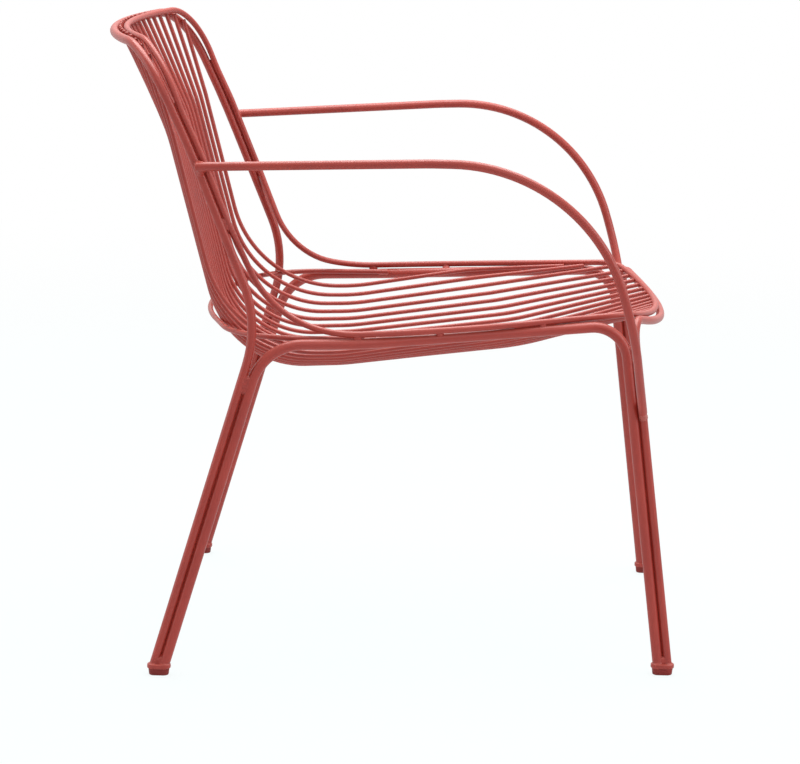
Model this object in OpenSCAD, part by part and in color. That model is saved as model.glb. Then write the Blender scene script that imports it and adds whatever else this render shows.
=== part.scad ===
// Garden armchair: a rigid welded frame of bent round tube that carries a
// curved back and seat of parallel wires. Millimetres, Z up. The sitter faces
// -Y. Left is -X, as seen by someone who stands in front of the chair. The
// origin is on the floor under the middle of the chair.

/* [Width] */
// Distance between the centre lines of the two seat rails
rail_span = 484; // [440:2:520]
// Distance between the centre lines of the rear feet
rear_foot_span = 562; // [500:2:620]
// Distance between the centre lines of the front feet
front_foot_span = 464; // [420:2:540]
// Widest distance between the centre lines of the armrests
arm_span = 606; // [560:2:660]
// Width of the back's top bow, between the posts' centre lines
top_span = 471; // [420:2:500]

/* [Depth and height] */
// Distance from the rear feet to the front feet, centre to centre
foot_reach = 560; // [500:1:620]
// Height of the seat rails behind the middle of the seat
rail_z = 373; // [340:1:410]
// Rise of the seat rails from the middle to the front corner
rail_rise = 15.5; // [5:0.5:30]
// How far each seat rail stands in at the front corner
rail_taper = 49; // [30:1:60]
// Height of the top bow's centre line
top_z = 704; // [640:1:800]
// Lean of the back's posts from the vertical, in degrees
post_lean = 21.5; // [15:0.5:28]
// Height of the armrests at their front bend
arm_z = 582; // [540:1:620]

/* [Tubes and wires] */
// Diameter of the side frames' tube
side_d = 12; // [10:0.5:14]
// Diameter of the rear hoop's tube
hoop_d = 10; // [8:0.5:12]
// Diameter of the armrests' tube
arm_d = 10; // [8:0.5:12]
// Diameter of the front hoop's rod
front_d = 9.5; // [6:0.5:10]
// Diameter of the rod around the edge of the seat and back
edge_d = 7; // [5:0.5:8]
// Diameter of the rod that carries the wires behind the seat
support_d = 6; // [5:0.5:8]
// Diameter of the seat and back wires
wire_d = 5; // [4:0.25:6]
// Number of seat and back wires
wire_count = 24; // [16:2:24]
// Distance between the centre lines of neighbouring wires
wire_pitch = 18.3; // [14:0.1:18.5]

/* [Shell] */
// Depth of the seat below its edge, at the middle
seat_sag = 54; // [40:1:60]
// Depth of the back behind its outer wires, at the middle
back_sag = 16; // [10:1:26]
// Distance that the top bow stands back at the middle
top_bow = 86.5; // [60:0.5:110]
// Distance that the front bow stands forward at the middle
front_bow = 74; // [50:1:90]

/* [Feet] */
// Length of a foot's collar along the chair's depth
collar_l = 26.5; // [26.5:0.5:34]
// Width of a foot's collar
collar_w = 17; // [15:0.5:24]
// Height of a foot's collar
collar_h = 5.5; // [4:0.5:9]
// Height of the glide below the collar
glide_h = 7; // [5:0.5:12]
// How far the glide stands in from the collar's edge
glide_inset = 2.2; // [1:0.1:4]

/* [Hidden] */
// Gap that a weld bridges between two rods that lie side by side
weld_gap = 0.2;
// Gap around a tube's end in a foot's socket
socket_gap = 0.15;
// Straight stretches are this much thinner than the bends they run into
lap_thin = 0.04;
// Facets of a tube, for the preview
$fn = 32;

// The paths below are drawn upright. The whole frame then leans back on its
// feet by this many degrees
frame_lean = 0.72;
function leaned(p) = [p.x, p.y * cos(frame_lean) + p.z * sin(frame_lean),
                      p.z * cos(frame_lean) - p.y * sin(frame_lean)];

// Half widths that the paths share
rail_x = rail_span / 2;
rear_x = rear_foot_span / 2;
front_x = front_foot_span / 2;
arm_x = arm_span / 2;
top_x = top_span / 2;

// Feet along the depth, before the chair is centred
front_y = -284;
rear_y = front_y + foot_reach;
// Slope of the legs from the vertical, in degrees
rear_rake = 17;
front_rake = 6.7;
// Height of the tubes' ends above the floor
tube_end_z = glide_h + 1;
// A tube's end that stands at that height once the frame leans
function tube_end(x, y) =
  [x, y, (tube_end_z + y * sin(frame_lean)) / cos(frame_lean)];

// Side frame: a rear leg, a rail and a front leg bent from one tube
side_r = side_d / 2;
rear_pair = side_r + hoop_d / 2 + weld_gap;
side_rear_foot =
  tube_end(rear_x, rear_y + 2 - rear_pair * 0.46 / cos(rear_rake));
side_rear_knee = [rail_x, 162, rail_z - 2];
side_mid = [rail_x - 1, 50, rail_z];
front_pair = side_r + front_d / 2 + weld_gap;
side_front_foot = tube_end(front_x, front_y + 2.8);
side_front_knee = [rail_x - rail_taper, -238, rail_z + rail_rise];

// Rear hoop: lies against the rear legs, then leans back to the top bow
hoop_r = hoop_d / 2;
hoop_foot = side_rear_foot + [0, rear_pair / cos(rear_rake), 0];
hoop_knee = [rail_x, 166.4, rail_z + 23];
hoop_knee_r = 140;
hoop_top_z = top_z - 3.5;
function post_y(z) = hoop_knee.y + (z - hoop_knee.z) * tan(post_lean);
// The posts lean back further above the bend at their middle
top_kick = 7;
post_mid_z = top_z - 114;
post_mid = [rail_x - 4.1, post_y(post_mid_z), post_mid_z];
post_top = [top_x, post_y(hoop_top_z) + top_kick, hoop_top_z];
post_slope = (post_top - post_mid) / (post_top.z - post_mid.z);
hoop_apex = [0, post_top.y + top_bow, hoop_top_z];

// Edge rod: runs in front of the posts, turns onto the rails and closes
// around the front
edge_r = edge_d / 2;
wire_r = wire_d / 2;
support_r = support_d / 2;
front_r = front_d / 2;
// The wires lean in the top slot, so it is this much wider
slot_play = 0.35;
top_slot = hoop_r + edge_r + wire_d + 2 * weld_gap + slot_play;
post_lap = hoop_r + edge_r + weld_gap;
edge_top = [top_x - 4, post_top.y - top_slot + 0.9, top_z];
edge_apex = [0, hoop_apex.y - top_slot / cos(21), top_z];
edge_part_z = top_z - 75;
edge_part = post_mid + post_slope * (edge_part_z - post_mid.z)
  - [1, post_lap * norm([post_slope.y, 1]), 0];
edge_turn = post_mid - [1, post_lap / cos(post_lean + 2), 0];
edge_leave_z = 502;
edge_leave = [rail_x - 3.5, post_y(edge_leave_z) - post_lap / cos(post_lean),
              edge_leave_z];
edge_inner = [rail_x - 34, 157.2, rail_z + 29];
edge_rail = [rail_x + 0.5, 82.6, rail_z + side_r + edge_r + weld_gap];
edge_mid = [rail_x - 6, -40, edge_rail.z + 4.5];
edge_front = [rail_x - 59, -241, side_front_knee.z + 10.5];
edge_nose = [0, edge_front.y - front_bow, edge_front.z - 33];
nose_r = 395;
edge_corner = 45;

// The top bow is an arc: its turn at the middle, its radius and its centre,
// taken on the line halfway between the edge rod and the rear hoop
bow_corner = 74;
bow_turn = atan((hoop_apex.y - post_top.y) / post_top.x);
function corner_cut(radius) = radius * tan((90 - 8) / 2);
bow_run = norm(hoop_apex - post_top) - corner_cut(bow_corner) - 2;
hoop_bow_r = bow_run / tan(bow_turn);
edge_bow_r = hoop_bow_r - top_slot;
hoop_bow_y = hoop_apex.y - hoop_bow_r / cos(bow_turn);

// Front hoop: rises in front of the front legs and follows the edge rod
// below and in front of it
front_leg = (side_front_knee - side_front_foot)
  / norm(side_front_knee - side_front_foot);
front_step = [0, -front_pair / cos(front_rake), 0];
front_foot = side_front_foot + front_step;
front_top = side_front_knee + front_step + front_leg * 6.6;
nose_drop = [0, 5, -9];

// The path of a rod is mirrored from its right half
function left(p) = [-p.x, p.y, p.z];
function back_to_front(half) = [for (i = [len(half) - 1:-1:0]) half[i]];

module rod(points, bends, d) {
  last = len(points) - 1;
  dirs = [for (i = [0:last - 1])
    (points[i + 1] - points[i]) / norm(points[i + 1] - points[i])];
  turns = [for (i = [1:last - 1]) acos(dirs[i - 1] * dirs[i])];
  cuts = [for (i = [0:last]) (i == 0 || i == last) ? 0
    : bends[i - 1] * tan(turns[i - 1] / 2)];
  for (i = [0:last - 1]) {
    run = norm(points[i + 1] - points[i]) - cuts[i] - cuts[i + 1];
    lap_in = i == 0 ? 0 : lap(bends[i - 1]);
    lap_out = i == last - 1 ? 0 : lap(bends[i]);
    if (run > 0)
      aim(points[i] + dirs[i] * (cuts[i] - lap_in), dirs[i])
        cylinder(h = run + lap_in + lap_out, d = d - 2 * lap_thin);
  }
  for (i = [1:last - 1])
    bend(points[i] - dirs[i - 1] * cuts[i], dirs[i - 1], dirs[i],
         bends[i - 1], turns[i - 1], d);
}

// A rod that closes on itself: every point is a bend
module closed_rod(points, bends, d) {
  count = len(points);
  next = [for (i = [0:count - 1]) (i + 1) % count];
  dirs = [for (i = [0:count - 1])
    (points[next[i]] - points[i]) / norm(points[next[i]] - points[i])];
  turns = [for (i = [0:count - 1])
    acos(dirs[(i + count - 1) % count] * dirs[i])];
  cuts = [for (i = [0:count - 1]) bends[i] * tan(turns[i] / 2)];
  for (i = [0:count - 1]) {
    before = dirs[(i + count - 1) % count];
    run = norm(points[next[i]] - points[i]) - cuts[i] - cuts[next[i]];
    if (run > 0)
      aim(points[i] + dirs[i] * (cuts[i] - lap(bends[i])), dirs[i])
        cylinder(h = run + lap(bends[i]) + lap(bends[next[i]]),
                 d = d - 2 * lap_thin);
    bend(points[i] - before * cuts[i], before, dirs[i], bends[i], turns[i], d);
  }
}

// A straight stretch runs this far into a bend and stays inside it
function lap(radius) = min(0.6, sqrt(radius * lap_thin));

module aim(at, dir) {
  side = abs(dir.z) > 0.9 ? [1, 0, 0] : [0, 0, 1];
  u = cross(side, dir) / norm(cross(side, dir));
  v = cross(dir, u);
  multmatrix([[u.x, v.x, dir.x, at.x],
              [u.y, v.y, dir.y, at.y],
              [u.z, v.z, dir.z, at.z],
              [0, 0, 0, 1]])
    children();
}

// One bend of a tube: starts at a point along dir_in and turns to dir_out
module bend(at, dir_in, dir_out, radius, turn, d) {
  axis = cross(dir_in, dir_out) / norm(cross(dir_in, dir_out));
  out = cross(dir_in, axis);
  centre = at - out * radius;
  multmatrix([[out.x, dir_in.x, axis.x, centre.x],
              [out.y, dir_in.y, axis.y, centre.y],
              [out.z, dir_in.z, axis.z, centre.z],
              [0, 0, 0, 1]])
    rotate_extrude(angle = turn) translate([radius, 0]) circle(d = d);
}

// Feet: the two tubes that end in each one, and its middle on the floor
rear_leg = (side_rear_knee - side_rear_foot)
  / norm(side_rear_knee - side_rear_foot);
hoop_leg = (hoop_knee - hoop_foot) / norm(hoop_knee - hoop_foot);
rear_tubes = [[leaned(side_rear_foot), leaned(rear_leg), side_d],
              [leaned(hoop_foot), leaned(hoop_leg), hoop_d]];
front_tubes = [[leaned(front_foot), leaned(front_leg), front_d],
               [leaned(side_front_foot), leaned(front_leg), side_d]];
function foot_at(tubes) =
  let (a = tubes[0], b = tubes[1],
       rise = glide_h + collar_h / 2 - tube_end_z)
  [a[0].x + a[1].x / a[1].z * rise,
   (a[0].y + b[0].y) / 2 + (b[2] - a[2]) / 4 + a[1].y / a[1].z * rise];

// The chair is centred between the front of its feet and the top bow
chair_front = foot_at(front_tubes).y - collar_l / 2;
chair_back = leaned([0, hoop_bow_y + hoop_bow_r, hoop_top_z]).y + hoop_r;
module centred() {
  translate([0, -(chair_front + chair_back) / 2, 0]) children();
}
module standing() {
  centred() rotate([-frame_lean, 0, 0]) children();
}

// The wires run straight forward, one pitch apart. Where each one turns lies
// between the outermost wire and a middle wire, both given from the side:
// below the top bow, low behind the back, under the seat and near the front
outer_wire = [[263, 600], [204, rail_z - 10], [80, rail_z - 11],
              [-60, rail_z + 11]];
middle_wire = [outer_wire[0] + [back_sag, -10],
               outer_wire[1] + [7, -seat_sag],
               outer_wire[2] + [0, 6 - seat_sag],
               outer_wire[3] + [-70, 5 - seat_sag]];
bowl_power = [3, 2.1, 2, 1.7];
function wire_bends(x) =
  [200, 105 + 25 * pow(abs(x) / 212, 3), 250, 300];
wire_outer_x = wire_pitch * (wire_count - 1) / 2;

// A wire's upper end stands in the slot between the edge rod and the hoop
wire_lean = 26;
tip_rise = 5.5;
slot_r = hoop_bow_r - (hoop_r + wire_r + weld_gap) / cos(wire_lean)
  + tip_rise * tan(wire_lean);
function wire_top(x) =
  [x, hoop_bow_y + sqrt(slot_r * slot_r - x * x) - 5.5 * pow(abs(x) / 212, 5),
   hoop_top_z + tip_rise - 18 * pow(abs(x) / 212, 8)];

// The middle line of the edge rod's front bow: an arc between straight runs
bow_fall = [0, edge_nose.y - edge_front.y, edge_nose.z - edge_front.z];
nose_turn = atan(norm(bow_fall) / edge_front.x);
function bow_point(x) =
  let (out = abs(x) < nose_r * sin(nose_turn)
         ? norm(bow_fall) - nose_r / cos(nose_turn)
           + sqrt(nose_r * nose_r - x * x)
         : norm(bow_fall) * (1 - abs(x) / edge_front.x))
  [x, edge_front.y, edge_front.z] + bow_fall / norm(bow_fall) * out;

// A wire's front end meets the inside of the edge rod's bow or its corner. The
// outermost wires end beside its side runs, the last one bent in to reach it
wire_seat = edge_r + wire_r + weld_gap;
side_run = edge_mid - edge_front;
nose_run = edge_front - edge_nose;
corner_turn = acos(side_run * nose_run / norm(side_run) / norm(nose_run));
corner_x = edge_front.x
  - edge_corner * tan(corner_turn / 2) * cos(nose_turn);
last_wire_in = 16;
tip_gap = 0.3;
function wire_front(x) =
  let (in_x = abs(x) - last_wire_in * pow(abs(x) / wire_outer_x, 15),
       side_y = edge_front.y + (in_x + wire_seat * cos(30) * 1.035
                                - edge_front.x) * side_run.y / side_run.x,
       side_z = edge_front.z - wire_seat / 2
         + (side_y - edge_front.y) * side_run.z / side_run.y,
       past = min(max(0, in_x - corner_x) / cos(nose_turn), edge_corner),
       slant = min(asin(in_x / nose_r), nose_turn) + asin(past / edge_corner),
       inset = (edge_corner - sqrt(pow(edge_corner, 2) - past * past))
         / cos(nose_turn),
       bow = bow_point(in_x) + [0, inset + (edge_r + tip_gap) / cos(slant)
                                   + wire_r * tan(slant), -1.5])
  side_y > bow.y ? [sign(x) * in_x, side_y, side_z]
    : [sign(x) * in_x, bow.y, bow.z];

function across(i) = wire_pitch * (i - (wire_count + 1) / 2);
function wire_turn(k, x) =
  let (depth = 1 - pow(abs(x) / wire_outer_x, bowl_power[k]),
       yz = outer_wire[k] + (middle_wire[k] - outer_wire[k]) * depth)
  [x, yz.x, yz.y];
function wire_path(x) =
  concat([wire_top(x)], [for (k = [0:3]) wire_turn(k, x)], [wire_front(x)]);
function two_digits(i) = str(i < 10 ? "0" : "", i);
function wire_name(i) = str("wire_", two_digits(i));

module rear_hoop() {
  half = [hoop_foot, hoop_knee, post_mid, post_top];
  bends = [hoop_knee_r, 1500, bow_corner];
  standing() color("firebrick")
    rod(concat([for (p = half) left(p)], [hoop_apex], back_to_front(half)),
        concat(bends, [hoop_bow_r], back_to_front(bends)), hoop_d);
}

module side_frame() {
  standing() color("firebrick")
    rod([side_rear_foot, side_rear_knee, side_mid, side_front_knee,
         side_front_foot], [60, 300, 39], side_d);
}

module edge_rod() {
  half = [edge_top, edge_part, edge_turn, edge_leave, edge_inner, edge_rail,
          edge_mid, edge_front];
  bends = [bow_corner, 120, 300, 100, 84, 100, 900, edge_corner];
  standing() color("firebrick") {
    // The loop starts and ends at the middle of the front bow
    nose = [0, edge_nose.y, edge_nose.z];
    closed_rod(concat([for (p = half) left(p)], [nose], back_to_front(half),
                      [edge_apex]),
               concat(bends, [nose_r], back_to_front(bends), [edge_bow_r]),
               edge_d);
  }
}

module front_hoop() {
  half = [front_foot, front_top];
  standing() color("firebrick")
    rod([left(front_foot), left(front_top), edge_nose + nose_drop, front_top,
         front_foot], [24, nose_r, 24], front_d);
}

module arm() {
  arm_r = arm_d / 2;
  // The upper end lies against the outside of the rear hoop's post
  post_z = arm_z - 12;
  post_at = [rail_x - 3.6 + hoop_r + arm_r + weld_gap,
             post_y(post_z) - 0.5, post_z];
  // The lower end lies against the outside of the front hoop's leg
  arm_end_z = 293;
  along = (arm_end_z - side_front_foot.z) / front_leg.z;
  leg_at = front_foot + front_leg * along;
  arm_end = leg_at + [front_r + arm_r + weld_gap, 0, 0];
  standing() color("firebrick")
    rod([post_at, [arm_x - 17, -22, arm_z - 2], [arm_x + 8, -191, arm_z - 1],
         [arm_x - 12, -246, 395], arm_end],
        [200, 190, 150], arm_d);
}

module rear_support_rod() {
  support_z = rail_z + 4;
  half = [[rail_x - 11.7, 40, support_z], [rail_x - 9.7, 193.8, support_z]];
  standing() color("firebrick")
    rod(concat([for (p = half) left(p)], [[0, 253, support_z]],
               back_to_front(half)),
        [98, 430, 98], support_d);
}

module wire(i) {
  standing() color("firebrick")
    rod(wire_path(across(i)), wire_bends(across(i)), wire_d);
}

// A foot holds the ends of two tubes that lean alike. Each tube is given by
// the middle of its end, its direction and its diameter, the front one first
module foot(tubes) {
  at = foot_at(tubes);
  centred() color("maroon")
    difference() {
      translate([at.x, at.y, 0]) {
        stadium(collar_l - 2 * glide_inset, collar_w - 2 * glide_inset,
                glide_h);
        translate([0, 0, glide_h - lap_thin])
          stadium(collar_l, collar_w, collar_h + lap_thin);
      }
      for (t = tubes)
        aim(t[0] - t[1] * socket_gap, t[1])
          cylinder(h = collar_h + collar_l, d = t[2] + 2 * socket_gap);
    }
}

module stadium(length, width, height) {
  end = (length - width) / 2;
  for (s = [-1, 1])
    translate([0, s * end, 0]) cylinder(h = height, d = width);
  translate([-width / 2, -end, 0]) cube([width, 2 * end, height]);
}

rear_hoop();
front_hoop();
side_frame();  // side_frame_right
mirror([1, 0, 0]) side_frame();  // side_frame_left
arm();  // arm_right
mirror([1, 0, 0]) arm();  // arm_left
edge_rod();
rear_support_rod();
foot(rear_tubes);  // foot_rear_right
mirror([1, 0, 0]) foot(rear_tubes);  // foot_rear_left
foot(front_tubes);  // foot_front_right
mirror([1, 0, 0]) foot(front_tubes);  // foot_front_left
for (i = [1:wire_count])
  wire(i);
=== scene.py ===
import math

import bpy
import bmesh
from mathutils import Matrix, Vector, noise


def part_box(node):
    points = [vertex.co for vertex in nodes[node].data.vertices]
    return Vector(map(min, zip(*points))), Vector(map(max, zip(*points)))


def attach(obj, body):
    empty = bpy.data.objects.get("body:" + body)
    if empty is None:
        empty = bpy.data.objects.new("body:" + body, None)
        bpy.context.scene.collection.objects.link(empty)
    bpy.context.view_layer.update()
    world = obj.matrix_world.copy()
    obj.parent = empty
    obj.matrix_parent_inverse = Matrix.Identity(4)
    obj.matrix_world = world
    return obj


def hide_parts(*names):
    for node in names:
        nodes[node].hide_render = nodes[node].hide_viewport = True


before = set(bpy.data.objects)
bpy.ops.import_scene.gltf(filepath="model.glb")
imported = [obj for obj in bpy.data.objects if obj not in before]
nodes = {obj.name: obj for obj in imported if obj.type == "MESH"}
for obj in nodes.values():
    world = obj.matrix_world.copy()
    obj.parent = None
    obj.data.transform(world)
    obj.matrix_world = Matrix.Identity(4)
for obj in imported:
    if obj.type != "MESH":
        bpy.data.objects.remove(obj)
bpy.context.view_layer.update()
print("frame loaded:", len(nodes), "parts")

# names of the seat and back wires, from one side to the other
wireNames = sorted(name for name in nodes if name.startswith("wire_"))
tubeNames = ["rear_hoop", "front_hoop", "side_frame_left", "side_frame_right",
             "arm_left", "arm_right"]
rodNames = ["edge_rod", "rear_support_rod"]
footNames = ["foot_rear_left", "foot_rear_right",
             "foot_front_left", "foot_front_right"]


def linkNodes(tree, source, target):
    tree.links.new(source, target)


def addNode(tree, kind, place, **values):
    node = tree.nodes.new(kind)
    node.location = place
    for key, value in values.items():
        setattr(node, key, value)
    return node


def mixNoise(tree, place, vector, scale, detail):
    node = addNode(tree, "ShaderNodeTexNoise", place)
    node.inputs["Scale"].default_value = scale
    node.inputs["Detail"].default_value = detail
    linkNodes(tree, vector, node.inputs["Vector"])
    return node.outputs["Fac"]


def mapSpan(tree, place, value, source, target, **values):
    # carries a value over from one span to another
    node = addNode(tree, "ShaderNodeMapRange", place, **values)
    sockets = ("From Min", "From Max", "To Min", "To Max")
    for socket, number in zip(sockets, (*source, *target)):
        node.inputs[socket].default_value = number
    linkNodes(tree, value, node.inputs["Value"])
    return node.outputs["Result"]


def blend(tree, place, share, first, second):
    # a colour between two, each one a socket or a fixed colour
    node = addNode(tree, "ShaderNodeMix", place, data_type="RGBA")
    linkNodes(tree, share, node.inputs[0])
    for socket, colour in ((node.inputs[6], first), (node.inputs[7], second)):
        if isinstance(colour, tuple):
            socket.default_value = (*colour, 1.0)
        else:
            linkNodes(tree, colour, socket)
    return node.outputs[2]


def bump(tree, place, height, depth):
    node = addNode(tree, "ShaderNodeBump", place)
    node.inputs["Strength"].default_value = 1.0
    node.inputs["Distance"].default_value = depth
    linkNodes(tree, height, node.inputs["Height"])
    return node


powderCoat = {
    "colour": (0.300, 0.027, 0.016),       # brick red of the coat
    "deepColour": (0.258, 0.021, 0.013),   # where the coat pools a little thicker
    "paintedSheenColour": (0.385, 0.078, 0.056),   # painted sheen: paler on faces that look up, standing in for light from above
    # share of the painted sheen where a face looks straight up
    "paintedSheenShare": 0.50,
    "paintedLightFrom": 0.25,                      # how far up a face looks where the painted sheen starts
    "roughness": (0.34, 0.43),
    "shine": 0.46,
    "driftSize": 14.0,                     # sizes are in waves per metre
    "driftSpan": (0.34, 0.66),
    "mottleSize": 700.0,
    "mottle": (0.94, 1.06),
    "peelSize": 420.0,                     # orange peel
    "peelDepth": 0.00006,
    "grainSize": 2600.0,
    "grainDepth": 0.000012,
    "noiseSpan": (0.3, 0.7),               # most of a noise's values lie in it
}

# the welds, rough welds and glides each take their own painted sheen on faces that look up
weldPowder = dict(powderCoat, peelSize=900.0, peelDepth=0.00016, paintedSheenShare=0.55,
                  roughness=(0.44, 0.56))
roughPowder = dict(weldPowder, colour=(0.44, 0.110, 0.088),
                   deepColour=(0.26, 0.035, 0.026), paintedSheenColour=(0.50, 0.17, 0.14),
                   peelSize=700.0, peelDepth=0.0004)
glidePlastic = dict(powderCoat, colour=(0.205, 0.022, 0.018),
                    deepColour=(0.160, 0.018, 0.015), paintedSheenColour=(0.22, 0.03, 0.026),
                    roughness=(0.55, 0.66), shine=0.25)


def coat(name, look, seed):
    material = bpy.data.materials.new(name)
    material.use_nodes = True
    tree = material.node_tree
    tree.nodes.clear()
    out = addNode(tree, "ShaderNodeOutputMaterial", (1100, 0))
    paint = addNode(tree, "ShaderNodeBsdfPrincipled", (800, 0))
    linkNodes(tree, paint.outputs["BSDF"], out.inputs["Surface"])
    paint.inputs["Specular IOR Level"].default_value = look["shine"]
    where = addNode(tree, "ShaderNodeTexCoord", (-1100, 0))
    shift = addNode(tree, "ShaderNodeMapping", (-900, 0))
    shift.inputs["Location"].default_value = (seed * 1.7, seed * 0.9, seed * 2.3)
    linkNodes(tree, where.outputs["Object"], shift.inputs["Vector"])
    vector = shift.outputs["Vector"]

    # the coat's thickness drifts over a hand's width
    drift = mixNoise(tree, (-650, 320), vector, look["driftSize"], 3.0)
    driftRamp = addNode(tree, "ShaderNodeValToRGB", (-430, 320))
    stops = zip(driftRamp.color_ramp.elements, look["driftSpan"],
                (look["deepColour"], look["colour"]))
    for stop, position, colour in stops:
        stop.position = position
        stop.color = (*colour, 1.0)
    linkNodes(tree, drift, driftRamp.inputs["Fac"])

    # painted sheen: faces that look up are drawn paler, standing in for the light from
    # above
    shape = addNode(tree, "ShaderNodeNewGeometry", (-900, -260))
    split = addNode(tree, "ShaderNodeSeparateXYZ", (-700, -260))
    linkNodes(tree, shape.outputs["Normal"], split.inputs["Vector"])
    upward = mapSpan(tree, (-480, -260), split.outputs["Z"],
                     (look["paintedLightFrom"], 1.0), (0.0, look["paintedSheenShare"]))
    withPaintedSheen = blend(tree, (-120, 220), upward, driftRamp.outputs["Color"],
                  look["paintedSheenColour"])

    # fine mottle of the baked powder
    mottle = mixNoise(tree, (-650, 40), vector, look["mottleSize"], 2.0)
    mottleShade = mapSpan(tree, (-430, 40), mottle, look["noiseSpan"], look["mottle"])
    shaded = addNode(tree, "ShaderNodeVectorMath", (120, 200), operation="SCALE")
    linkNodes(tree, withPaintedSheen, shaded.inputs[0])
    linkNodes(tree, mottleShade, shaded.inputs["Scale"])
    linkNodes(tree, shaded.outputs["Vector"], paint.inputs["Base Color"])
    gloss = mapSpan(tree, (-120, -60), drift, look["noiseSpan"], look["roughness"])
    linkNodes(tree, gloss, paint.inputs["Roughness"])

    # orange peel, and a finer grain on it
    peel = mixNoise(tree, (-300, -420), vector, look["peelSize"], 1.0)
    grain = mixNoise(tree, (-300, -640), vector, look["grainSize"], 1.0)
    peelBump = bump(tree, (300, -420), peel, look["peelDepth"])
    grainBump = bump(tree, (520, -420), grain, look["grainDepth"])
    linkNodes(tree, peelBump.outputs["Normal"], grainBump.inputs["Normal"])
    linkNodes(tree, grainBump.outputs["Normal"], paint.inputs["Normal"])
    return material


def dress(name, material):
    mesh = nodes[name].data
    mesh.materials.clear()
    mesh.materials.append(material)


tubeCoat = coat("tubeCoat", powderCoat, 1.0)
rodCoat = coat("rodCoat", powderCoat, 2.0)
wireCoat = coat("wireCoat", powderCoat, 3.0)
weldCoat = coat("weldCoat", weldPowder, 4.0)
glideCoat = coat("glideCoat", glidePlastic, 5.0)
roughCoat = coat("roughCoat", roughPowder, 6.0)
dressed = ((tubeNames, tubeCoat), (rodNames, rodCoat), (wireNames, wireCoat),
           (footNames, glideCoat))
for names, material in dressed:
    for name in names:
        dress(name, material)
print("coated")

# the centre lines of the left half, in metres: corner points and, at each
# inner one, the radius of its bend
rods = {
    "hoop": {"radius": 0.005, "bends": (0.140, 1.500),
             "points": ((-0.281, 0.25357, 0.00785), (-0.242, 0.14048, 0.39388),
                        (-0.2379, 0.21933, 0.5869), (-0.2355, 0.27125, 0.69676))},
    "side": {"radius": 0.006, "bends": (0.060, 0.300, 0.039),
             "points": ((-0.281, 0.24186, 0.008), (-0.242, 0.13577, 0.36894),
                        (-0.241, 0.0238, 0.37234), (-0.193, -0.26398, 0.39146),
                        (-0.232, -0.312, 0.008))},
    "front": {"radius": 0.00475, "bends": (0.024,),
              "points": ((-0.232, -0.32303, 0.00814), (-0.19234, -0.27419, 0.39811),
                         (0.0, -0.33637, 0.36087))},
    "arm": {"radius": 0.005, "bends": (0.200, 0.190, 0.150),
            "points": ((-0.2486, 0.2107, 0.56701), (-0.286, -0.04559, 0.58023),
                       (-0.311, -0.21456, 0.58335), (-0.291, -0.2719, 0.39806),
                       (-0.21265, -0.28695, 0.29624))},
    "edge": {"radius": 0.0035,
             "bends": (0.120, 0.300, 0.100, 0.084, 0.100, 0.900, 0.045),
             "points": ((-0.2315, 0.25794, 0.70043), (-0.23605, 0.22809, 0.6258),
                        (-0.2369, 0.20985, 0.58702), (-0.2385, 0.17422, 0.49946),
                        (-0.208, 0.13136, 0.39999), (-0.2425, 0.05652, 0.38163),
                        (-0.236, -0.06601, 0.38767), (-0.183, -0.26685, 0.402),
                        (0.0, -0.34126, 0.36993))},
    "support": {"radius": 0.003, "bends": (0.098,),
                "points": ((-0.2303, 0.01385, 0.37647), (-0.2323, 0.16764, 0.37453),
                           (0.0, 0.22684, 0.37379))},
}


def runTo(path, end, step):
    start = path[-1]
    count = max(1, round((end - start).length / step))
    for i in range(1, count + 1):
        path.append(start.lerp(end, i / count))


pathStep = 0.0015


def roundedPath(points, bends, step=pathStep):
    corners = [Vector(point) for point in points]
    path = [corners[0]]
    for i, radius in enumerate(bends):
        before = (corners[i + 1] - corners[i]).normalized()
        after = (corners[i + 2] - corners[i + 1]).normalized()
        turn = before.angle(after)
        entry = corners[i + 1] - before * radius * math.tan(turn / 2)
        runTo(path, entry, step)
        outward = before.cross(before.cross(after).normalized())
        centre = entry - outward * radius
        count = max(2, round(radius * turn / step))
        for k in range(1, count + 1):
            angle = turn * k / count
            path.append(centre + radius * (outward * math.cos(angle)
                                           + before * math.sin(angle)))
    runTo(path, corners[-1], step)
    return path


lines = {name: roundedPath(rod["points"], rod["bends"]) for name, rod in rods.items()}


def along(name, axis, value):
    # the first place on a rod's line where x, y or z passes a value
    path = lines[name]
    for here, there in zip(path, path[1:]):
        low, high = sorted((here[axis], there[axis]))
        if low <= value <= high and high > low:
            share = (value - here[axis]) / (there[axis] - here[axis])
            return here.lerp(there, share)
    return path[-1]


def touching(nameA, nameB, reach):
    # where two rods lie side by side: the touching point, and the way across
    first, second = rods[nameA]["radius"], rods[nameB]["radius"]
    other = lines[nameB]
    found = []
    for spot in lines[nameA]:
        near = min(other, key=lambda q: (q - spot).length_squared)
        across = near - spot
        gap = across.length - first - second
        if gap < reach:
            across.normalize()
            found.append((spot + across * (first + gap / 2), across, max(gap, 0.0)))
    return found


def mirrored(point):
    return Vector((-point.x, point.y, point.z))


class Skin:
    # vertices and faces that are collected before they become one mesh
    def __init__(self):
        self.verts = []
        self.faces = []

    def add(self, verts, faces, flip=False):
        base = len(self.verts)
        self.verts.extend(verts)
        for face in faces:
            ring = [base + k for k in face]
            self.faces.append(ring[::-1] if flip else ring)

    def addBoth(self, verts, faces):
        self.add(verts, faces)
        self.add([mirrored(point) for point in verts], faces, True)


def ballPoints(centre, radius, count=5):
    # a ball's points by rings, for a hull
    points = [centre + Vector((0, 0, radius)), centre - Vector((0, 0, radius))]
    for i in range(1, count):
        tilt = math.pi * i / count
        for k in range(2 * count):
            turn = math.pi * k / count
            points.append(centre + radius * Vector((
                math.sin(tilt) * math.cos(turn), math.sin(tilt) * math.sin(turn),
                math.cos(tilt))))
    return points


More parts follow.
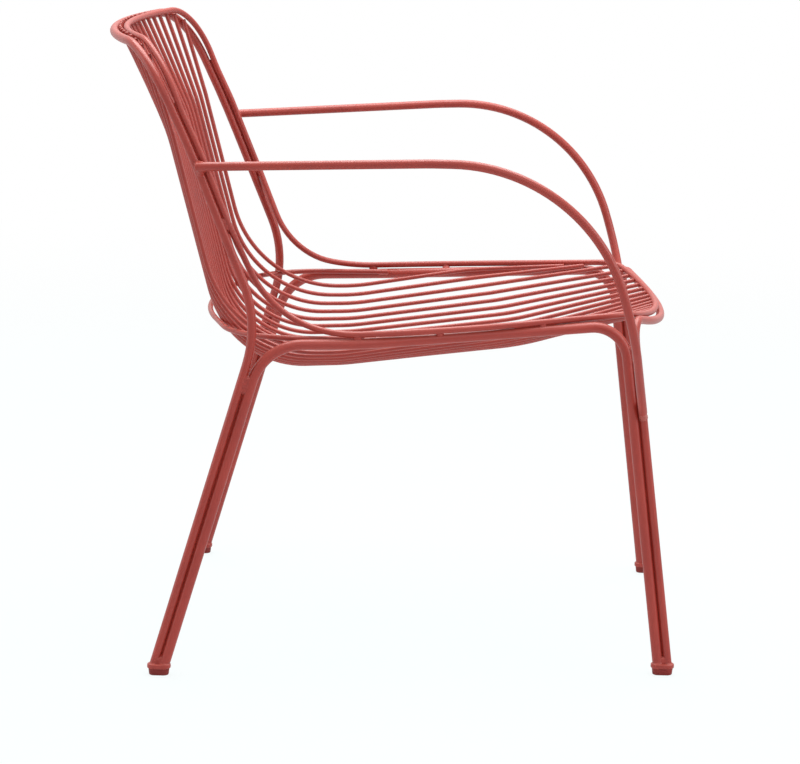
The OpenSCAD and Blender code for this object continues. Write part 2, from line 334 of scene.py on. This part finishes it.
def hullOf(balls, lowest=-1.0):
    shell = bmesh.new()
    for centre, radius in balls:
        for point in ballPoints(Vector(centre), radius):
            point.z = max(point.z, lowest)
            shell.verts.new(point)
    bmesh.ops.remove_doubles(shell, verts=shell.verts, dist=0.00001)
    bmesh.ops.convex_hull(shell, input=shell.verts)
    loose = [vert for vert in shell.verts if not vert.link_faces]
    bmesh.ops.delete(shell, geom=loose, context="VERTS")
    bmesh.ops.recalc_face_normals(shell, faces=shell.faces)
    shell.verts.index_update()
    verts = [vert.co.copy() for vert in shell.verts]
    faces = [[vert.index for vert in face.verts] for face in shell.faces]
    shell.free()
    return verts, faces


def makePiece(name, skin, material):
    mesh = bpy.data.meshes.new(name)
    mesh.from_pydata(skin.verts, [], skin.faces)
    mesh.validate()
    piece = bpy.data.objects.new(name, mesh)
    bpy.context.scene.collection.objects.link(piece)
    mesh.materials.append(material)
    mesh.shade_smooth()
    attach(piece, "root")
    return piece


meltLook = {"soften": 0.5, "rippleSize": 420.0}


def melt(piece, voxel, rounds, ripple, seed):
    # overlapping shells become one skin, which is then smoothed and rippled
    remesh = piece.modifiers.new("melt", "REMESH")
    remesh.mode = "VOXEL"
    remesh.voxel_size = voxel
    soften = piece.modifiers.new("soften", "SMOOTH")
    soften.factor = meltLook["soften"]
    soften.iterations = rounds
    depsgraph = bpy.context.evaluated_depsgraph_get()
    melted = bpy.data.meshes.new_from_object(piece.evaluated_get(depsgraph))
    old = piece.data
    material = old.materials[0]
    piece.modifiers.clear()
    piece.data = melted
    bpy.data.meshes.remove(old)
    melted.name = piece.name
    if not melted.materials:
        melted.materials.append(material)
    shift = Vector((seed * 3.1, seed * 1.7, seed * 2.3))
    size = meltLook["rippleSize"]
    moves = [vert.normal * ripple * noise.noise(vert.co * size + shift)
             for vert in melted.vertices]
    for vert, move in zip(melted.vertices, moves):
        vert.co += move
    melted.shade_smooth()


# a thin seam of paint closes the groove between rods that lie side by side
seams = {
    "rearLegSeam": {"rods": ("side", "hoop"), "reach": 0.0010, "fill": 0.0013},
    "frontLegSeam": {"rods": ("side", "front"), "reach": 0.0008, "fill": 0.0011},
    "postSeam": {"rods": ("hoop", "edge"), "reach": 0.0011, "fill": 0.0012},
    "railSeam": {"rods": ("side", "edge"), "reach": 0.0006, "fill": 0.0009},
}
seamLook = {
    "sides": 10,
    "endShare": 0.15,        # of the fill at a seam's ends
    "endSteps": 4,           # it thins out over so many steps
    "waver": 0.12,
    "waverSize": 90.0,
    "overlap": 0.6,          # how flat the seam's oval is where it meets the rods
    "swell": 1.25,
}


def seamSkin(skin, contacts, radii, fill):
    look = seamLook
    sides = look["sides"]
    rings = []
    for i, (spot, across, gap) in enumerate(contacts):
        ahead = contacts[min(i + 1, len(contacts) - 1)][0]
        behind = contacts[max(i - 1, 0)][0]
        outward = (ahead - behind).normalized().cross(across).normalized()
        fromEnd = min(i, len(contacts) - 1 - i)
        edge = min(1.0, look["endShare"] + fromEnd / look["endSteps"])
        waver = look["waver"] * noise.noise(spot * look["waverSize"])
        deep = fill * edge * (1.0 + waver)
        wide = (gap / 2 + deep * deep / 4 * (1 / radii[0] + 1 / radii[1])) / look["overlap"]
        for k in range(sides):
            angle = 2 * math.pi * k / sides
            rings.append(spot + across * wide * math.cos(angle)
                         + outward * deep * look["swell"] * math.sin(angle))
    last = (len(contacts) - 1) * sides
    faces = [[k + sides * i, (k + 1) % sides + sides * i,
              (k + 1) % sides + sides * (i + 1), k + sides * (i + 1)]
             for i in range(len(contacts) - 1) for k in range(sides)]
    faces.append(list(range(sides))[::-1])
    faces.append([last + k for k in range(sides)])
    skin.addBoth(rings, faces)


def runsOf(contacts, jump=0.004, fewest=5):
    # contacts in a row; a longer step starts a new run, and short runs are dropped
    runs = [[contacts[0]]]
    for before, here in zip(contacts, contacts[1:]):
        if (here[0] - before[0]).length > jump:
            runs.append([])
        runs[-1].append(here)
    return [run for run in runs if len(run) >= fewest]


for name, look in seams.items():
    skin = Skin()
    pair = look["rods"]
    for run in runsOf(touching(pair[0], pair[1], look["reach"])):
        seamSkin(skin, run, [rods[rod]["radius"] for rod in pair], look["fill"])
        print("  ", name, "run of", len(run))
    makePiece(name, skin, weldCoat)
print("seams laid")


# axes of a place on a rod
alongY = 1
alongZ = 2


def ball(rod, axis, value, share):
    # a ball in a rod: the axis and value place it, share is of the rod's radius
    return (along(rod, axis, value), rods[rod]["radius"] * share)


def sideBack(steps):
    # a place on the side tube, counted back from its front foot
    return lines["side"][-steps]


armStart = lines["arm"][0]
armEnd = lines["arm"][-1]
armAhead = (lines["arm"][6] - armStart).normalized()
armBack = (lines["arm"][-7] - armEnd).normalized()
# welds between the rods: each is one or more hulls over balls that sit in the
# rods that it joins
welds = {
    "armRearWeld": [
        [(armStart + armAhead * 0.006, 0.0045), (armStart + armAhead * 0.012, 0.0043),
         ball("hoop", alongZ, armStart.z + 0.002, 0.86),
         ball("hoop", alongZ, armStart.z - 0.007, 0.86)],
        [(armStart + armAhead * 0.0045, 0.0042),
         ball("hoop", alongZ, armStart.z - 0.011, 0.90),
         ball("hoop", alongZ, armStart.z - 0.001, 0.90)],
    ],
    "armFrontWeld": [
        [(armEnd + armBack * 0.007, 0.0042), (armEnd + armBack * 0.003, 0.0034),
         ball("front", alongZ, armEnd.z + 0.008, 0.88),
         ball("front", alongZ, armEnd.z, 0.88)],
        [(armEnd - armBack * 0.0016, 0.0038),
         ball("front", alongZ, armEnd.z - 0.009, 1.06),
         ball("front", alongZ, armEnd.z - 0.002, 1.02)],
    ],
    "postWeld": [
        [ball("hoop", alongZ, 0.498, 0.80), ball("hoop", alongZ, 0.507, 0.80),
         ball("edge", alongZ, 0.499, 0.84), ball("edge", alongZ, 0.506, 0.84)],
    ],
    "railWeldRear": [
        [ball("side", alongY, 0.034, 0.60), ball("side", alongY, 0.029, 0.60),
         ball("edge", alongY, 0.033, 0.90), ball("edge", alongY, 0.030, 0.90)],
    ],
    "railWeldMiddle": [
        [ball("side", alongY, -0.057, 0.60), ball("side", alongY, -0.061, 0.60),
         ball("edge", alongY, -0.058, 0.80), ball("edge", alongY, -0.060, 0.80)],
    ],
    "railWeldFront": [
        [ball("side", alongY, -0.171, 0.60), ball("side", alongY, -0.175, 0.60),
         ball("edge", alongY, -0.172, 0.80), ball("edge", alongY, -0.174, 0.80)],
    ],
    "supportWeld": [
        [(lines["support"][0], 0.0030), (lines["support"][6], 0.0028),
         ball("side", alongY, 0.016, 0.62), ball("side", alongY, 0.024, 0.62)],
    ],
    "rearLegWeldTop": [
        [ball("side", alongZ, 0.318, 0.86), ball("side", alongZ, 0.330, 0.86),
         ball("hoop", alongZ, 0.318, 0.86), ball("hoop", alongZ, 0.332, 0.86)],
    ],
    "rearLegWeldFoot": [
        [ball("side", alongZ, 0.010, 0.88), ball("side", alongZ, 0.017, 0.84),
         ball("hoop", alongZ, 0.010, 0.88), ball("hoop", alongZ, 0.017, 0.84)],
    ],
    "frontLegWeldTop": [
        [(sideBack(235), 0.0051), (sideBack(242), 0.0051),
         ball("front", alongZ, 0.352, 0.86), ball("front", alongZ, 0.364, 0.86)],
    ],
    "frontLegWeldFoot": [
        [(sideBack(2), 0.0052), (sideBack(7), 0.0050),
         ball("front", alongZ, 0.010, 0.90), ball("front", alongZ, 0.017, 0.86)],
    ],
}
weldLook = {
    "voxel": 0.0006, "rounds": 3, "ripple": 0.0005,
    "rough": ("armFrontWeld",), "roughRipple": 0.0009,
}
for seed, (name, hulls) in enumerate(welds.items()):
    skin = Skin()
    for balls in hulls:
        skin.addBoth(*hullOf(balls))
    rough = name in weldLook["rough"]
    piece = makePiece(name, skin, roughCoat if rough else weldCoat)
    melt(piece, weldLook["voxel"], weldLook["rounds"],
         weldLook["roughRipple" if rough else "ripple"], seed + 1)
print("welds laid:", len(welds))


# the ends of the wires: rounded tips and small beads that hold them
tipLook = {
    "top": (0.00252, 0.00252, 0.0017), "topSunk": 0.0005,
    "front": (0.00252, 0.00252, 0.0020), "frontSunk": 0.0003, "frontRipple": 0.05,
    "bead": (0.0019, 0.0024, 0.0019), "beadAside": 0.0014, "beadAhead": 0.0004,
    "beadRipple": 0.25, "rippleSize": 600.0,
}
endLook = {
    "rim": 0.0055,           # reach from a point of the flat end to its other points
    "ring": 0.005,           # depth of the ring of points behind it
}
sideways = Vector((1, 0, 0))


def wireEnds(name):
    # the middle of each flat end and the way that it faces
    rim = endLook["rim"]
    points = [vert.co for vert in nodes[name].data.vertices]
    ends = []
    for seed in (max(points, key=lambda p: p.z + p.y), min(points, key=lambda p: p.y)):
        flat = [p for p in points if (p - seed).length < rim]
        middle = sum(flat, Vector()) / len(flat)
        away = [p for p in points if (p - middle).length > rim]
        nearest = min((p - middle).length for p in away)
        inner = [p for p in away if (p - middle).length < nearest + endLook["ring"]]
        back = sum(inner, Vector()) / len(inner)
        ends.append((middle, (middle - back).normalized()))
    return ends


def lump(skin, centre, axes, ripple, seed, rings=7, sides=12):
    verts = [centre + axes[2]]
    for i in range(1, rings):
        tilt = math.pi * i / rings
        for k in range(sides):
            turn = 2 * math.pi * k / sides
            point = (axes[0] * math.sin(tilt) * math.cos(turn)
                     + axes[1] * math.sin(tilt) * math.sin(turn)
                     + axes[2] * math.cos(tilt))
            swell = 1.0 + ripple * noise.noise(
                (centre + point) * tipLook["rippleSize"] + sideways * seed)
            verts.append(centre + point * swell)
    verts.append(centre - axes[2])
    faces = [[0, 1 + k, 1 + (k + 1) % sides] for k in range(sides)]
    for i in range(rings - 2):
        base = 1 + i * sides
        faces += [[base + k, base + sides + k, base + sides + (k + 1) % sides,
                   base + (k + 1) % sides] for k in range(sides)]
    end = len(verts) - 1
    base = end - sides
    faces += [[base + k, end, base + (k + 1) % sides] for k in range(sides)]
    skin.add(verts, faces)


def axesFor(ahead, radii):
    upright = ahead.cross(sideways).normalized()
    return (sideways * radii[0], upright * radii[1], ahead * radii[2])


topTips = Skin()
frontTips = Skin()
frontBeads = Skin()
for seed, name in enumerate(wireNames):
    (topEnd, up), (frontEnd, forward) = wireEnds(name)
    lump(topTips, topEnd - up * tipLook["topSunk"], axesFor(up, tipLook["top"]),
         0.0, seed)
    lump(frontTips, frontEnd - forward * tipLook["frontSunk"],
         axesFor(forward, tipLook["front"]), tipLook["frontRipple"], seed)
    for side in (-1, 1):
        spot = (frontEnd + sideways * side * tipLook["beadAside"]
                + forward * tipLook["beadAhead"])
        lump(frontBeads, spot, axesFor(forward, tipLook["bead"]),
             tipLook["beadRipple"], seed + 40 * side)
makePiece("wireTopTips", topTips, wireCoat)
makePiece("wireFrontTips", frontTips, wireCoat)
makePiece("wireFrontBeads", frontBeads, weldCoat)
print("wire ends rounded")


# feet: a rimmed collar welded to the two tubes, on a tapered glide
footLook = {
    "glideHigh": 0.0076, "collarHigh": 0.0052, "round": 0.0011,
    "glideIn": 0.0014, "glideToe": 0.0022, "glideRound": 0.0012,
    "glideUp": 0.0003, "glideTopRound": 0.0004,
    "tubeIn": 0.004,         # how far below the collar's top the fillets start
    "fillets": ((0, 0.0014), (2, 0.0003), (3, -0.0006)),   # step up the tube, extra radius
    "filletFloor": 0.0004,
    "voxel": 0.0005, "rounds": 4, "ripple": 0.00015,
}
# the tubes that stand in a foot, and the end of each one's line that does
feet = {
    "foot_rear_left": (("side", "start"), ("hoop", "start")),
    "foot_front_left": (("front", "start"), ("side", "finish")),
}


def stadiumRing(middle, halfWide, halfLong, z, steps=14):
    straight = halfLong - halfWide
    ring = []
    for k in range(2 * steps):
        angle = math.pi * (k + 0.5) / steps
        shift = straight if math.sin(angle) > 0 else -straight
        ring.append(Vector((middle.x + halfWide * math.cos(angle),
                            middle.y + shift + halfWide * math.sin(angle), z)))
    return ring


def lofted(rings):
    sides = len(rings[0])
    verts = [point for ring in rings for point in ring]
    faces = [list(range(sides))[::-1]]
    for i in range(len(rings) - 1):
        base = i * sides
        faces += [[base + k, base + (k + 1) % sides, base + sides + (k + 1) % sides,
                   base + sides + k] for k in range(sides)]
    faces.append([len(verts) - sides + k for k in range(sides)])
    return verts, faces


def roundedLoft(middle, wide, long, low, high, bottomRound, topRound, toe=0.0,
                steps=4):
    # a stadium block with rounded rims; toe draws its lower rim in
    rings = []
    for k in range(steps + 1):
        angle = math.pi / 2 * k / steps
        inset = bottomRound * (1 - math.sin(angle)) + toe
        z = low + bottomRound * (1 - math.cos(angle))
        rings.append(stadiumRing(middle, wide - inset, long - inset, z))
    for k in range(steps + 1):
        angle = math.pi / 2 * k / steps
        inset = topRound * (1 - math.cos(angle))
        z = high - topRound * (1 - math.sin(angle))
        rings.append(stadiumRing(middle, wide - inset, long - inset, z))
    return lofted(rings)


for name, tubes in feet.items():
    low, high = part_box(name)
    middle = Vector(((low[0] + high[0]) / 2, (low[1] + high[1]) / 2, 0.0))
    halfWide = (high[0] - low[0]) / 2
    halfLong = (high[1] - low[1]) / 2
    glideTop = footLook["glideHigh"]
    collarTop = glideTop + footLook["collarHigh"]
    collar = Skin()
    collar.addBoth(*roundedLoft(middle, halfWide, halfLong, glideTop, collarTop,
                                footLook["round"], footLook["round"]))
    for rod, end in tubes:
        path = lines[rod] if end == "start" else lines[rod][::-1]
        rise = [point for point in path[:12] if point.z > collarTop - footLook["tubeIn"]]
        balls = [(rise[step], rods[rod]["radius"] + extra)
                 for step, extra in footLook["fillets"]]
        collar.addBoth(*hullOf(balls, glideTop + footLook["filletFloor"]))
    glide = Skin()
    glide.addBoth(*roundedLoft(middle, halfWide - footLook["glideIn"],
                               halfLong - footLook["glideIn"], 0.0,
                               glideTop + footLook["glideUp"],
                               footLook["glideRound"], footLook["glideTopRound"],
                               footLook["glideToe"] - footLook["glideIn"]))
    print("  ", name, tuple(round(v, 4) for v in middle), round(halfWide, 4))
    half = "Rear" if "rear" in name else "Front"
    rim = makePiece("collars" + half, collar, tubeCoat)
    melt(rim, footLook["voxel"], footLook["rounds"], footLook["ripple"], 3)
    sole = makePiece("glides" + half, glide, glideCoat)
    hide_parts(name, name.replace("left", "right"))
print("feet set")


cameraSpot = {
    "place": (-3.933615, -0.108721, 1.061017),
    "heading": 1.43812,      # degrees from straight across the chair
    "tilt": 11.18516,        # degrees down
    "roll": -0.97754,
    "lens": 153.004,         # millimetres, as is the width of the frame
    "frame": 36.0,
    "sight": 50.0,           # metres
}


def setCamera(spot):
    camera = bpy.data.cameras.new("camera")
    camera.lens = spot["lens"]
    camera.sensor_width = spot["frame"]
    camera.sensor_fit = "HORIZONTAL"
    camera.clip_end = spot["sight"]
    heading = math.radians(spot["heading"])
    tilt = math.radians(spot["tilt"])
    roll = math.radians(spot["roll"])
    ahead = Vector((math.cos(heading) * math.cos(tilt),
                    math.sin(heading) * math.cos(tilt), -math.sin(tilt)))
    across = Vector((math.sin(heading), -math.cos(heading), 0.0))
    down = ahead.cross(across)
    right = across * math.cos(roll) + down * math.sin(roll)
    low = down * math.cos(roll) - across * math.sin(roll)
    turn = Matrix((right, -low, -ahead)).transposed().to_4x4()
    holder = bpy.data.objects.new("camera", camera)
    holder.matrix_world = Matrix.Translation(spot["place"]) @ turn
    bpy.context.scene.collection.objects.link(holder)
    bpy.context.scene.camera = holder


setCamera(cameraSpot)
print("camera set")

studio = {
    "backdrop": (1.0, 1.0, 1.0),
    "air": (1.0, 1.0, 1.0),
    "airStrength": 0.48,
    "floorColour": (0.80, 0.81, 0.82),
    "floorSize": 14.0,
    "floorPaintedShade": (0.935, 0.985, 0.985),    # painted shade: the glowing paper is drawn a little darker near the chair, as the camera sees it
    "paintedLightFrom": 0.2,         # metres from the middle where the paper starts to pale
    "fadeTo": 3.2,
    "shadowShare": 0.10,     # how much of the floor's own shade the camera sees
}


def seenRays(tree, place):
    # the rays that show the backdrop: straight, mirrored or through glass
    rays = addNode(tree, "ShaderNodeLightPath", place)
    straight = addNode(tree, "ShaderNodeMath", (place[0] + 180, place[1] + 60),
                       operation="MAXIMUM")
    linkNodes(tree, rays.outputs["Is Camera Ray"], straight.inputs[0])
    linkNodes(tree, rays.outputs["Is Glossy Ray"], straight.inputs[1])
    through = addNode(tree, "ShaderNodeMath", (place[0] + 360, place[1]),
                      operation="MAXIMUM")
    linkNodes(tree, straight.outputs["Value"], through.inputs[0])
    linkNodes(tree, rays.outputs["Is Transmission Ray"], through.inputs[1])
    return through.outputs["Value"]


def backdropWorld(look):
    world = bpy.data.worlds.new("studioAir")
    world.use_nodes = True
    tree = world.node_tree
    tree.nodes.clear()
    out = addNode(tree, "ShaderNodeOutputWorld", (800, 0))
    both = addNode(tree, "ShaderNodeMixShader", (600, 0))
    seen = addNode(tree, "ShaderNodeBackground", (350, -120))
    seen.inputs["Color"].default_value = (*look["backdrop"], 1.0)
    seen.inputs["Strength"].default_value = 1.0
    lit = addNode(tree, "ShaderNodeBackground", (350, 60))
    lit.inputs["Color"].default_value = (*look["air"], 1.0)
    lit.inputs["Strength"].default_value = look["airStrength"]
    linkNodes(tree, seenRays(tree, (-300, 200)), both.inputs["Fac"])
    linkNodes(tree, lit.outputs["Background"], both.inputs[1])
    linkNodes(tree, seen.outputs["Background"], both.inputs[2])
    linkNodes(tree, both.outputs["Shader"], out.inputs["Surface"])
    bpy.context.scene.world = world


def layFloor(look):
    half = look["floorSize"] / 2
    mesh = bpy.data.meshes.new("floor")
    corners = [(-half, -half, 0), (half, -half, 0), (half, half, 0), (-half, half, 0)]
    mesh.from_pydata(corners, [], [(0, 1, 2, 3)])
    floor = bpy.data.objects.new("floor", mesh)
    bpy.context.scene.collection.objects.link(floor)
    material = bpy.data.materials.new("floorPaper")
    material.use_nodes = True
    tree = material.node_tree
    tree.nodes.clear()
    out = addNode(tree, "ShaderNodeOutputMaterial", (1000, 0))
    both = addNode(tree, "ShaderNodeMixShader", (800, 0))
    paper = addNode(tree, "ShaderNodeBsdfDiffuse", (500, 100))
    paper.inputs["Color"].default_value = (*look["floorColour"], 1.0)
    # painted shade: the glowing paper is darker near the chair and pales to the backdrop's
    # white with the distance from it
    shape = addNode(tree, "ShaderNodeNewGeometry", (-700, -200))
    far = addNode(tree, "ShaderNodeVectorMath", (-500, -200), operation="LENGTH")
    linkNodes(tree, shape.outputs["Position"], far.inputs[0])
    pale = mapSpan(tree, (-300, -200), far.outputs["Value"],
                   (look["paintedLightFrom"], look["fadeTo"]), (0.0, 1.0),
                   interpolation_type="SMOOTHSTEP")
    tone = blend(tree, (-60, -200), pale, look["floorPaintedShade"], look["backdrop"])
    glow = addNode(tree, "ShaderNodeEmission", (500, -80))
    glow.inputs["Strength"].default_value = 1.0
    linkNodes(tree, tone, glow.inputs["Color"])
    # the camera keeps a share of the shadow, more near the chair
    share = mapSpan(tree, (200, 240), pale, (0.0, 1.0),
                    (1.0 - look["shadowShare"], 1.0))
    seen = addNode(tree, "ShaderNodeMath", (500, 260), operation="MULTIPLY")
    linkNodes(tree, seenRays(tree, (-300, 300)), seen.inputs[0])
    linkNodes(tree, share, seen.inputs[1])
    linkNodes(tree, seen.outputs["Value"], both.inputs["Fac"])
    linkNodes(tree, paper.outputs["BSDF"], both.inputs[1])
    linkNodes(tree, glow.outputs["Emission"], both.inputs[2])
    linkNodes(tree, both.outputs["Shader"], out.inputs["Surface"])
    mesh.materials.append(material)


lamps = {
    "topSoftbox": {"place": (0.5, -0.1, 2.5), "aim": (0, 0, 0.4),
                   "size": (2.4, 2.2), "power": 98.0},
    "frontSoftbox": {"place": (-0.8, -2.8, 1.5), "aim": (0, 0, 0.4),
                     "size": (1.8, 1.8), "power": 36.0},
    "rearSoftbox": {"place": (-0.4, 2.8, 1.3), "aim": (0, 0, 0.4),
                    "size": (1.8, 1.8), "power": 22.0},
    "cameraSoftbox": {"place": (-2.8, -0.3, 2.0), "aim": (0, 0, 0.35),
                      "size": (2.0, 1.6), "power": 15.0},
}


def hangLamp(name, look):
    lamp = bpy.data.lights.new(name, "AREA")
    lamp.shape = "RECTANGLE"
    lamp.size = look["size"][0]
    lamp.size_y = look["size"][1]
    lamp.energy = look["power"]
    holder = bpy.data.objects.new(name, lamp)
    toward = Vector(look["aim"]) - Vector(look["place"])
    holder.rotation_mode = "QUATERNION"
    holder.rotation_quaternion = toward.to_track_quat("-Z", "Y")
    holder.location = look["place"]
    bpy.context.scene.collection.objects.link(holder)


backdropWorld(studio)
layFloor(studio)
for name, look in lamps.items():
    hangLamp(name, look)
bpy.context.scene.view_settings.view_transform = "Standard"
print("studio set")
